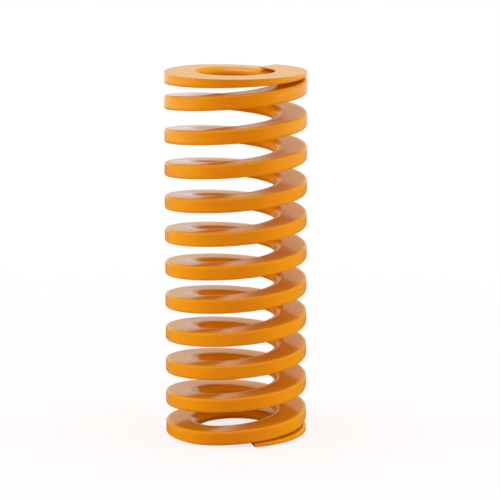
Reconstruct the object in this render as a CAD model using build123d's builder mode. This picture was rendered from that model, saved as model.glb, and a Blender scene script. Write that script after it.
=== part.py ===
"""Die spring: one length of rolled wire, coiled right-handed, closed and ground flat at both ends.

The spring stands on its ground bottom face, with the coil's axis on Z and the origin at the
centre of that face. Lengths are in millimetres and angles in degrees. Places along the wire
are counted in turns from its bottom tip.
"""

import os
from dataclasses import dataclass
from math import ceil, cos, pi, radians, sin

from build123d import *

# Envelope
free_length = 50.0  # ground face to ground face
outer_diameter = 19.4  # clears a 20 mm pocket
bore_diameter = 10.6  # clears a 10 mm guide rod

# Wire section: a rolled bar wound on edge, which has thickened a little towards its round bore side
outer_height = 1.94
outer_corner_radius = 0.35
bore_height = 1.98
bore_rounding = 1.3  # how far in from the bore its round side reaches

# Winding
total_turns = 12.361
start_angle = -74.7  # of the bottom tip, from +X towards +Y

# Closed ends: wound close for the closed turns, then opening over the blend turns
bottom_closed_turns = 0.8
bottom_blend_turns = 0.09
bottom_tip_gap = 0.05  # clear gap between the tip and the next turn of wire
bottom_tip_height = 0.5  # what grinding leaves of the wire at the tip
top_closed_turns = 0.8
top_blend_turns = 0.53
top_tip_gap = 0.05
top_tip_height = 0.34

# How closely the skin follows the true form
points_per_turn = 12
spans_per_turn = 2
round_chord = 0.65  # longest facet across a round stretch of the section


@dataclass
class ClosedEnd:
    """One end of the winding, with places on it counted in turns from its own tip."""

    closed_turns: float
    blend_turns: float
    tip_gap: float
    tip_height: float

    def share_open(self, turns):
        """How far the pitch has opened there: 0 is closed and 1 is fully open."""
        blend = min(max((turns - self.closed_turns) / self.blend_turns, 0), 1)
        return blend**2 * (3 - 2 * blend)

    def turns_open(self, turns):
        """The turns wound at the open pitch so far, which is share_open summed up."""
        blend = min(max((turns - self.closed_turns) / self.blend_turns, 0), 1)
        beyond = max(turns - self.closed_turns - self.blend_turns, 0)
        return self.blend_turns * (blend**3 - blend**4 / 2) + beyond

    def first_lift(self):
        """How far the first turn climbs: it clears the wire's own height and the tip gap."""
        return max(outer_height, bore_height) + self.tip_gap

    def closed_share(self):
        """The turns, at the first turn's lift, that the closed winding of this end is worth."""
        return (self.closed_turns + self.blend_turns / 2) / (1 - self.turns_open(1))

    def closed_pitch(self, open_pitch):
        """The pitch that gives the first turn its lift, with what of it is already open."""
        return (self.first_lift() - open_pitch * self.turns_open(1)) / (1 - self.turns_open(1))

    def pitch(self, turns, open_pitch):
        closed_pitch = self.closed_pitch(open_pitch)
        return closed_pitch + (open_pitch - closed_pitch) * self.share_open(turns)

    def lift(self, turns, open_pitch):
        """How far the wire's centre has moved from its height at the tip."""
        turns_open = self.turns_open(turns)
        return self.closed_pitch(open_pitch) * (turns - turns_open) + open_pitch * turns_open


bottom = ClosedEnd(bottom_closed_turns, bottom_blend_turns, bottom_tip_gap, bottom_tip_height)
top = ClosedEnd(top_closed_turns, top_blend_turns, top_tip_gap, top_tip_height)

# Heights of the wire's centre at its two tips. Grinding cuts the wire there, so the centre
# of the full section lies outside the ground face where less than half of it is left.
start_height = bottom.tip_height - outer_height / 2
finish_height = free_length - top.tip_height + outer_height / 2

closed_lift = bottom.first_lift() * bottom.closed_share() + top.first_lift() * top.closed_share()
open_turns = total_turns - bottom.closed_share() - top.closed_share()
open_pitch = (finish_height - start_height - closed_lift) / open_turns


def centre_height(turns):
    """Height of the wire's centre, climbing from the bottom tip or hanging from the top one."""
    if turns < total_turns / 2:
        return start_height + bottom.lift(turns, open_pitch)
    return finish_height - top.lift(total_turns - turns, open_pitch)


def centre_pitch(turns):
    if turns < total_turns / 2:
        return bottom.pitch(turns, open_pitch)
    return top.pitch(total_turns - turns, open_pitch)


def place(corner, turns):
    """Where a corner of the section lies after some turns."""
    radius, offset = corner
    angle = radians(start_angle) + 2 * pi * turns
    return Vector(radius * cos(angle), radius * sin(angle), centre_height(turns) + offset)


def heading(corner, turns):
    """How fast that corner moves with each turn: the derivative of place."""
    radius, _ = corner
    angle = radians(start_angle) + 2 * pi * turns
    return Vector(-sin(angle), cos(angle), 0) * 2 * pi * radius + Vector(0, 0, centre_pitch(turns))


def rail(corner, first, last):
    """The helix that a corner of the section follows from one turn count to another."""
    steps = ceil((last - first) * points_per_turn)
    marks = [first + (last - first) * step / steps for step in range(steps + 1)]
    points = [place(corner, turns) for turns in marks]
    ends = [heading(corner, turns) for turns in (first, last)]
    return Edge.make_spline(points, tangents=ends, parameters=marks, scale=False)


# The section, drawn with the radius across and the height from the wire's centre upwards
bore_radius = bore_diameter / 2
outer_radius = outer_diameter / 2
with BuildSketch(Plane.XZ) as wire_section:
    with BuildLine():
        bore_side = EllipticalCenterArc(
            (bore_radius + bore_rounding, 0),
            bore_rounding,
            bore_height / 2,
            start_angle=90,
            arc_size=180,
        )
        Polyline(
            bore_side @ 1,
            (outer_radius, -outer_height / 2),
            (outer_radius, outer_height / 2),
            bore_side @ 0,
        )
    make_face()
    fillet(wire_section.vertices().group_by(Axis.X)[-1], outer_corner_radius)

# The rails start where its flat and round stretches meet, and at points along the round ones
corners = []
for side in wire_section.sketch_local.face().outer_wire().order_edges():
    chords = 1 if side.geom_type == GeomType.LINE else ceil(side.length / round_chord)
    corners += [tuple(side @ (chord / chords))[:2] for chord in range(chords)]

# The wire's skin: between each pair of neighbouring rails runs one ruled face for each span
span_count = ceil(total_turns * spans_per_turn)
span_turns = total_turns / span_count
skin = []
for span in range(span_count):
    rails = [rail(corner, span * span_turns, (span + 1) * span_turns) for corner in corners]
    for near, far in zip(rails, rails[1:] + rails[:1]):
        skin.append(Face.make_surface_from_curves(near, far))
for tip in (0, total_turns):
    skin.append(Face(Wire.make_polygon([place(corner, tip) for corner in corners])))

with BuildPart() as die_spring:
    add(Solid(Shell(skin)))
    # Both ends are ground flat
    split(bisect_by=Plane.XY, keep=Keep.TOP)
    split(bisect_by=Plane.XY.offset(free_length), keep=Keep.BOTTOM)

print(f"open pitch {open_pitch:.3f} mm")

die_spring.part.label = "die_spring"
os.makedirs("parts", exist_ok=True)
export_step(die_spring.part, "parts/die_spring.step")
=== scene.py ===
"""A die spring in orange enamel, standing on a pale floor under soft studio light.

Lengths are in metres and angles in radians, unless a name says otherwise. The spring stands
on its ground bottom face, with the coil's axis on Z and the origin at the centre of that face.
"""

from math import atan2, ceil, cos, hypot, pi, radians, sin, tan

import bmesh
import bpy
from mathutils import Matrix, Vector


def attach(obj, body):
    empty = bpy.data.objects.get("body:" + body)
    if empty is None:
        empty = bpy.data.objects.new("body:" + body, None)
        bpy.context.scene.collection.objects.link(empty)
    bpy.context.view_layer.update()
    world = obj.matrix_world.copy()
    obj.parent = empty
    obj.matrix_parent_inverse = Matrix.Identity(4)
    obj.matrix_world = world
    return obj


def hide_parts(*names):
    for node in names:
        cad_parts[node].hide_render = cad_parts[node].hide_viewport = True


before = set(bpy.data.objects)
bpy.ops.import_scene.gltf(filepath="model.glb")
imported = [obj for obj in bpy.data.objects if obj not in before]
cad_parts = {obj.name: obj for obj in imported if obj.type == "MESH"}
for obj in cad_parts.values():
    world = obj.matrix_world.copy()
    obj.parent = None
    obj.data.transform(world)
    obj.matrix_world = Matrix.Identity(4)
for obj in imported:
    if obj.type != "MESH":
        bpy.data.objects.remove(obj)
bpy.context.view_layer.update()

# ---- Sizes of the spring, as in its CAD source ----

MM = 0.001

FREE_LENGTH = 50.0 * MM
OUTER_RADIUS = 9.7 * MM
BORE_RADIUS = 5.3 * MM

# Wire section
OUTER_HEIGHT = 1.94 * MM
OUTER_CORNER_RADIUS = 0.35 * MM
BORE_HEIGHT = 1.98 * MM
BORE_ROUNDING = 1.3 * MM  # how far in from the bore its round side reaches

# Winding
TOTAL_TURNS = 12.361
START_ANGLE = radians(-74.7)

# How finely the visible coil is made
STEPS_PER_TURN = 128
OUTER_CORNER_STEPS = 5
BORE_QUARTER_STEPS = 12
FLAT_MARGIN = 0.08 * MM  # keeps a flat side flat this near to its round corner
CUT_TOLERANCE = 1e-8  # how near a ground face a point counts as lying on it
SHARP_TURN = radians(35)  # an edge that turns further than this is shaded as a sharp one

# The floor lies this far below the ground face, so that the two never coincide
FLOOR_DROP = 0.02 * MM
FLOOR_HALF_WIDTH = 3.0

# The camera stands above the level of the spring's middle, and looks down and a little to the right
CAMERA_DISTANCE = 0.3019
CAMERA_RISE = 0.0603
LENS = 161.6  # millimetres, like the sensor's width
SENSOR_WIDTH = 36
PITCH_DOWN = radians(11.23)
TURN_RIGHT = radians(0.368)


# ---- The coil ----


class ClosedEnd:
    """One end of the winding, with places on it counted in turns from its own tip."""

    def __init__(self, closed_turns, blend_turns, tip_gap, tip_height):
        self.closed_turns = closed_turns
        self.blend_turns = blend_turns
        self.first_lift = max(OUTER_HEIGHT, BORE_HEIGHT) + tip_gap
        self.tip_height = tip_height

    def turns_open(self, turns):
        """The turns wound at the open pitch so far."""
        blend = min(max((turns - self.closed_turns) / self.blend_turns, 0), 1)
        beyond = max(turns - self.closed_turns - self.blend_turns, 0)
        return self.blend_turns * (blend**3 - blend**4 / 2) + beyond

    def closed_share(self):
        """The turns, at the first turn's lift, that the closed winding of this end is worth."""
        return (self.closed_turns + self.blend_turns / 2) / (1 - self.turns_open(1))

    def lift(self, turns, open_pitch):
        """How far the wire's centre has moved from its height at the tip."""
        open_in_first = self.turns_open(1)
        closed_pitch = (self.first_lift - open_pitch * open_in_first) / (1 - open_in_first)
        turns_open = self.turns_open(turns)
        return closed_pitch * (turns - turns_open) + open_pitch * turns_open


BOTTOM = ClosedEnd(closed_turns=0.8, blend_turns=0.09, tip_gap=0.05 * MM, tip_height=0.5 * MM)
TOP = ClosedEnd(closed_turns=0.8, blend_turns=0.53, tip_gap=0.05 * MM, tip_height=0.34 * MM)

START_HEIGHT = BOTTOM.tip_height - OUTER_HEIGHT / 2
FINISH_HEIGHT = FREE_LENGTH - TOP.tip_height + OUTER_HEIGHT / 2


def winding_pitch():
    """The open pitch that is left once both closed ends have had their lift."""
    closed_lift = BOTTOM.first_lift * BOTTOM.closed_share() + TOP.first_lift * TOP.closed_share()
    open_turns = TOTAL_TURNS - BOTTOM.closed_share() - TOP.closed_share()
    return (FINISH_HEIGHT - START_HEIGHT - closed_lift) / open_turns


OPEN_PITCH = winding_pitch()


def centre_height(turns):
    """Height of the wire's centre, climbing from the bottom tip or hanging from the top one."""
    if turns < TOTAL_TURNS / 2:
        return START_HEIGHT + BOTTOM.lift(turns, OPEN_PITCH)
    return FINISH_HEIGHT - TOP.lift(TOTAL_TURNS - turns, OPEN_PITCH)


def arc(centre, across, upwards, start, finish, steps):
    """Points on an arc, each as (distance from the coil's axis, height)."""
    angles = [start + (finish - start) * step / steps for step in range(steps + 1)]
    return [(centre[0] + across * cos(a), centre[1] + upwards * sin(a)) for a in angles]


def along(point, direction, distance):
    return (point[0] + distance * cos(direction), point[1] + distance * sin(direction))


def wire_outline():
    """The wire's section, once round from the upper end of its flat outer wall.

    Each point is a distance from the coil's axis and a height from the wire's centre.
    """
    flat_width = OUTER_RADIUS - BORE_RADIUS - BORE_ROUNDING
    taper = atan2((OUTER_HEIGHT - BORE_HEIGHT) / 2, flat_width)
    radius = OUTER_CORNER_RADIUS
    outer_centre = (OUTER_RADIUS - radius, OUTER_HEIGHT / 2 - radius * (tan(taper) + 1 / cos(taper)))
    bore_centre = (BORE_RADIUS + BORE_ROUNDING, 0)

    outer = arc(outer_centre, radius, radius, 0, pi / 2 + taper, OUTER_CORNER_STEPS)
    bore = arc(bore_centre, BORE_ROUNDING, BORE_HEIGHT / 2, pi / 2, pi, BORE_QUARTER_STEPS)
    upper = [
        along(outer[0], -pi / 2, FLAT_MARGIN),
        *outer,
        along(outer[-1], pi + taper, FLAT_MARGIN),
        along(bore[0], taper, FLAT_MARGIN),
        *bore,
    ]
    return upper + [(distance, -height) for distance, height in reversed(upper[:-1])]


def make_coil():
    """The whole length of wire, cut flat at both ends."""
    outline = wire_outline()
    around = [0]
    for near, far in zip(outline, outline[1:] + outline[:1]):
        around.append(around[-1] + hypot(far[0] - near[0], far[1] - near[1]))
    ring_count = ceil(TOTAL_TURNS * STEPS_PER_TURN)
    mean_radius = (OUTER_RADIUS + BORE_RADIUS) / 2

    coil = bmesh.new()
    wire_map = coil.loops.layers.uv.new("wire")
    rings = []
    lengths = []
    for step in range(ring_count + 1):
        turns = TOTAL_TURNS * step / ring_count
        angle = START_ANGLE + 2 * pi * turns
        height = centre_height(turns)
        spots = [(r * cos(angle), r * sin(angle), height + z) for r, z in outline]
        rings.append([coil.verts.new(spot) for spot in spots])
        lengths.append(2 * pi * mean_radius * turns)

    for step in range(ring_count):
        for side in range(len(outline)):
            beyond = (side + 1) % len(outline)
            near, far = rings[step], rings[step + 1]
            face = coil.faces.new((near[side], far[side], far[beyond], near[beyond]))
            face.smooth = True
            places = (
                (lengths[step], around[side]),
                (lengths[step + 1], around[side]),
                (lengths[step + 1], around[side + 1]),
                (lengths[step], around[side + 1]),
            )
            for loop, place in zip(face.loops, places):
                loop[wire_map].uv = place
    coil.faces.new(rings[0])
    coil.faces.new(reversed(rings[-1]))

    grind(coil, height=0, outward=-1)
    grind(coil, height=FREE_LENGTH, outward=1)
    bmesh.ops.recalc_face_normals(coil, faces=coil.faces)
    for edge in coil.edges:
        edge.smooth = edge.calc_face_angle(0) < SHARP_TURN

    mesh = bpy.data.meshes.new("coil")
    coil.to_mesh(mesh)
    coil.free()
    piece = bpy.data.objects.new("coil", mesh)
    bpy.context.collection.objects.link(piece)
    return piece


def grind(coil, height, outward):
    """Cuts away the wire beyond a level and closes the cut with a flat face."""
    parts = coil.verts[:] + coil.edges[:] + coil.faces[:]
    cut = bmesh.ops.bisect_plane(
        coil,
        geom=parts,
        dist=CUT_TOLERANCE,
        plane_co=(0, 0, height),
        plane_no=(0, 0, outward),
        clear_outer=True,
    )
    rim = [item for item in cut["geom_cut"] if isinstance(item, bmesh.types.BMEdge)]
    bmesh.ops.triangle_fill(coil, edges=rim, use_beauty=True)


# ---- Materials ----


class Nodes:
    """Adds shader nodes to one tree, and links them."""

    def __init__(self, tree):
        self.tree = tree
        tree.nodes.clear()

    def add(self, kind, values=None, **settings):
        """A new node with its settings. Values go to its inputs: a socket is linked in."""
        node = self.tree.nodes.new(kind)
        for name, value in settings.items():
            setattr(node, name, value)
        for name, value in (values or {}).items():
            if isinstance(value, bpy.types.NodeSocket):
                self.tree.links.new(value, node.inputs[name])
            else:
                node.inputs[name].default_value = value
        return node

    def noise(self, vector, scale, detail):
        values = {"Vector": vector, "Scale": scale, "Detail": detail}
        return self.add("ShaderNodeTexNoise", values).outputs["Fac"]

    def remap(self, value, low, high, to_low=0.0, to_high=1.0):
        values = {0: value, 1: low, 2: high, 3: to_low, 4: to_high}
        return self.add("ShaderNodeMapRange", values).outputs[0]

    def math(self, operation, *terms):
        return self.add("ShaderNodeMath", dict(enumerate(terms)), operation=operation).outputs[0]

    def blend(self, factor, low, high):
        node = self.add("ShaderNodeMix", {0: factor, 6: low, 7: high}, data_type="RGBA")
        return node.outputs[2]

    def bump(self, height, distance, normal=None):
        values = {"Height": height, "Distance": distance, "Strength": 1.0}
        if normal:
            values["Normal"] = normal
        return self.add("ShaderNodeBump", values).outputs["Normal"]


WHITE = (1, 1, 1, 1)


def grey(value):
    return (value, value, value, 1)


def srgb(red, green, blue):
    """A colour as it is written for a screen, from 0 to 255, turned into linear light."""
    shares = [value / 255 for value in (red, green, blue)]
    return [s / 12.92 if s <= 0.04045 else ((s + 0.055) / 1.055) ** 2.4 for s in shares] + [1]


def enamel_material():
    """Glossy orange enamel, sprayed over rolled wire: a little uneven in colour and surface."""
    material = bpy.data.materials.new("enamel")
    material.use_nodes = True
    nodes = Nodes(material.node_tree)
    place = nodes.add("ShaderNodeTexCoord").outputs["Object"]
    wire = nodes.add("ShaderNodeUVMap", uv_map="wire").outputs["UV"]
    stretched = nodes.add("ShaderNodeMapping", {"Vector": wire, "Scale": (60, 3000, 1)})

    drift = nodes.noise(place, scale=140, detail=3)
    streaks = nodes.noise(stretched.outputs[0], scale=1, detail=2)
    peel = nodes.noise(place, scale=1900, detail=1)
    grain = nodes.noise(place, scale=9000, detail=1)

    thickness = nodes.math("MULTIPLY_ADD", streaks, 0.35, nodes.math("MULTIPLY", drift, 0.65))
    coat = nodes.remap(thickness, 0.35, 0.65)
    colour = nodes.blend(coat, srgb(228, 156, 0), srgb(236, 167, 3))

    waves = nodes.bump(streaks, 0.4e-6)
    surface = nodes.bump(peel, 1.2e-6, waves)
    gloss = nodes.remap(grain, 0.3, 0.7, 0.10, 0.15)

    shader = nodes.add(
        "ShaderNodeBsdfPrincipled",
        {
            "Base Color": colour,
            "Roughness": gloss,
            "IOR": 1.38,
            "Normal": surface,
        },
    )
    nodes.add("ShaderNodeOutputMaterial", {"Surface": shader.outputs[0]})
    return material


def floor_material():
    """A white floor that is lifted to plain white further out, and keeps the soft shadow near by.

    Gloss shows it darker, apart from the white far from the spring, behind it and beside it.
    """
    material = bpy.data.materials.new("floor")
    material.use_nodes = True
    nodes = Nodes(material.node_tree)
    path = nodes.add("ShaderNodeLightPath").outputs
    camera_ray = path["Is Camera Ray"]
    reflected = nodes.math("ADD", path["Is Glossy Ray"], path["Is Transmission Ray"])
    place = nodes.add("ShaderNodeTexCoord").outputs["Object"]
    distance = nodes.add("ShaderNodeVectorMath", {0: place}, operation="LENGTH").outputs["Value"]
    axes = nodes.add("ShaderNodeSeparateXYZ", {0: place}).outputs
    not_in_front = nodes.remap(axes["Y"], -0.22, -0.12)
    far = nodes.math("MULTIPLY", nodes.remap(distance, 0.22, 0.40), not_in_front)

    unseen = nodes.blend(reflected, grey(0.45), grey(0.2))
    colour = nodes.blend(camera_ray, unseen, grey(0.9))
    matt = nodes.add("ShaderNodeBsdfDiffuse", {"Color": colour})
    plain = nodes.add("ShaderNodeEmission", {"Color": WHITE, "Strength": 1.0})
    outwards = nodes.remap(distance, 0.01, 0.12, to_low=0.8, to_high=1.0)
    seen = nodes.math("MULTIPLY", camera_ray, outwards)
    lifted = nodes.math("MULTIPLY_ADD", reflected, far, seen)
    shown = nodes.add("ShaderNodeMixShader", {0: lifted, 1: matt.outputs[0], 2: plain.outputs[0]})
    nodes.add("ShaderNodeOutputMaterial", {"Surface": shown.outputs[0]})
    return material


# ---- Studio ----


def make_floor():
    half = FLOOR_HALF_WIDTH
    mesh = bpy.data.meshes.new("floor")
    corners = [(-half, -half, 0), (half, -half, 0), (half, half, 0), (-half, half, 0)]
    mesh.from_pydata(corners, [], [(0, 1, 2, 3)])
    floor = bpy.data.objects.new("floor", mesh)
    bpy.context.collection.objects.link(floor)
    floor.location.z = -FLOOR_DROP
    mesh.materials.append(floor_material())


def make_world():
    """White to the camera, a low even light on everything, and a backdrop for gloss to show.

    Gloss shows a cream backdrop behind the spring and overhead, and a dark room elsewhere.
    """
    even_light, dark_room, pale_room = 0.5, 0.12, 0.84
    cream = (1, 0.93, 0.75, 1)
    rose = (1, 0.72, 0.65, 1)
    world = bpy.data.worlds.new("studio")
    world.use_nodes = True
    nodes = Nodes(world.node_tree)
    path = nodes.add("ShaderNodeLightPath").outputs
    reflected = nodes.math("ADD", path["Is Glossy Ray"], path["Is Transmission Ray"])
    lighting = nodes.math("SUBTRACT", 1, nodes.math("ADD", reflected, path["Is Camera Ray"]))

    place = nodes.add("ShaderNodeTexCoord").outputs["Generated"]
    direction = nodes.add("ShaderNodeSeparateXYZ", {0: place}).outputs
    behind = nodes.remap(direction["Y"], 0.6, 0.9)
    overhead = nodes.remap(direction["Z"], 0.4, 0.7)
    pale = nodes.math("MAXIMUM", behind, overhead)
    backdrop = nodes.remap(pale, 0, 1, to_low=dark_room, to_high=pale_room)

    seen = nodes.math("MULTIPLY_ADD", reflected, backdrop, path["Is Camera Ray"])
    strength = nodes.math("MULTIPLY_ADD", lighting, even_light, seen)
    shown = nodes.blend(reflected, WHITE, cream)
    tint = nodes.blend(lighting, shown, rose)
    shader = nodes.add("ShaderNodeBackground", {"Color": tint, "Strength": strength})
    nodes.add("ShaderNodeOutputWorld", {"Surface": shader.outputs[0]})
    bpy.context.scene.world = world


def aim(item, target):
    item.rotation_euler = (Vector(target) - item.location).to_track_quat("-Z", "Y").to_euler()


def softbox(name, location, width, height, power, colour=(1, 1, 1), mirrored=False):
    """A rectangular lamp that faces the spring. Gloss shows the lamp itself only if mirrored."""
    lamp = bpy.data.lights.new(name, "AREA")
    lamp.shape = "RECTANGLE"
    lamp.size = width
    lamp.size_y = height
    lamp.energy = power
    lamp.color = colour
    item = bpy.data.objects.new(name, lamp)
    item.location = location
    item.visible_camera = False
    item.visible_glossy = mirrored
    bpy.context.collection.objects.link(item)
    aim(item, (0, 0, FREE_LENGTH / 2))


def make_camera():
    """A long lens a little above the spring, with the spring just left of the middle."""
    lens = bpy.data.cameras.new("camera")
    lens.sensor_width = SENSOR_WIDTH
    lens.lens = LENS
    camera = bpy.data.objects.new("camera", lens)
    camera.location = (0, -CAMERA_DISTANCE, FREE_LENGTH / 2 + CAMERA_RISE)
    camera.rotation_euler = (pi / 2 - PITCH_DOWN, 0, -TURN_RIGHT)
    bpy.context.collection.objects.link(camera)
    bpy.context.scene.camera = camera


# ---- The scene ----

coil = make_coil()
coil.data.materials.append(enamel_material())
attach(coil, "root")
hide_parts("die_spring")

make_floor()
make_world()
softbox("left_box", (-0.30, 0.02, 0.09), width=0.28, height=0.17, power=0.66)
softbox("right_box", (0.30, 0.02, 0.09), width=0.28, height=0.17, power=0.60)
softbox("top_box", (0.0, 0.05, 0.80), width=0.50, height=0.50, power=2.5, mirrored=True)
softbox("front_box", (0.0, -0.80, 0.05), width=0.50, height=0.30, power=2.4, colour=(1, 0.2, 0.1))
make_camera()
bpy.context.scene.view_settings.view_transform = "Standard"
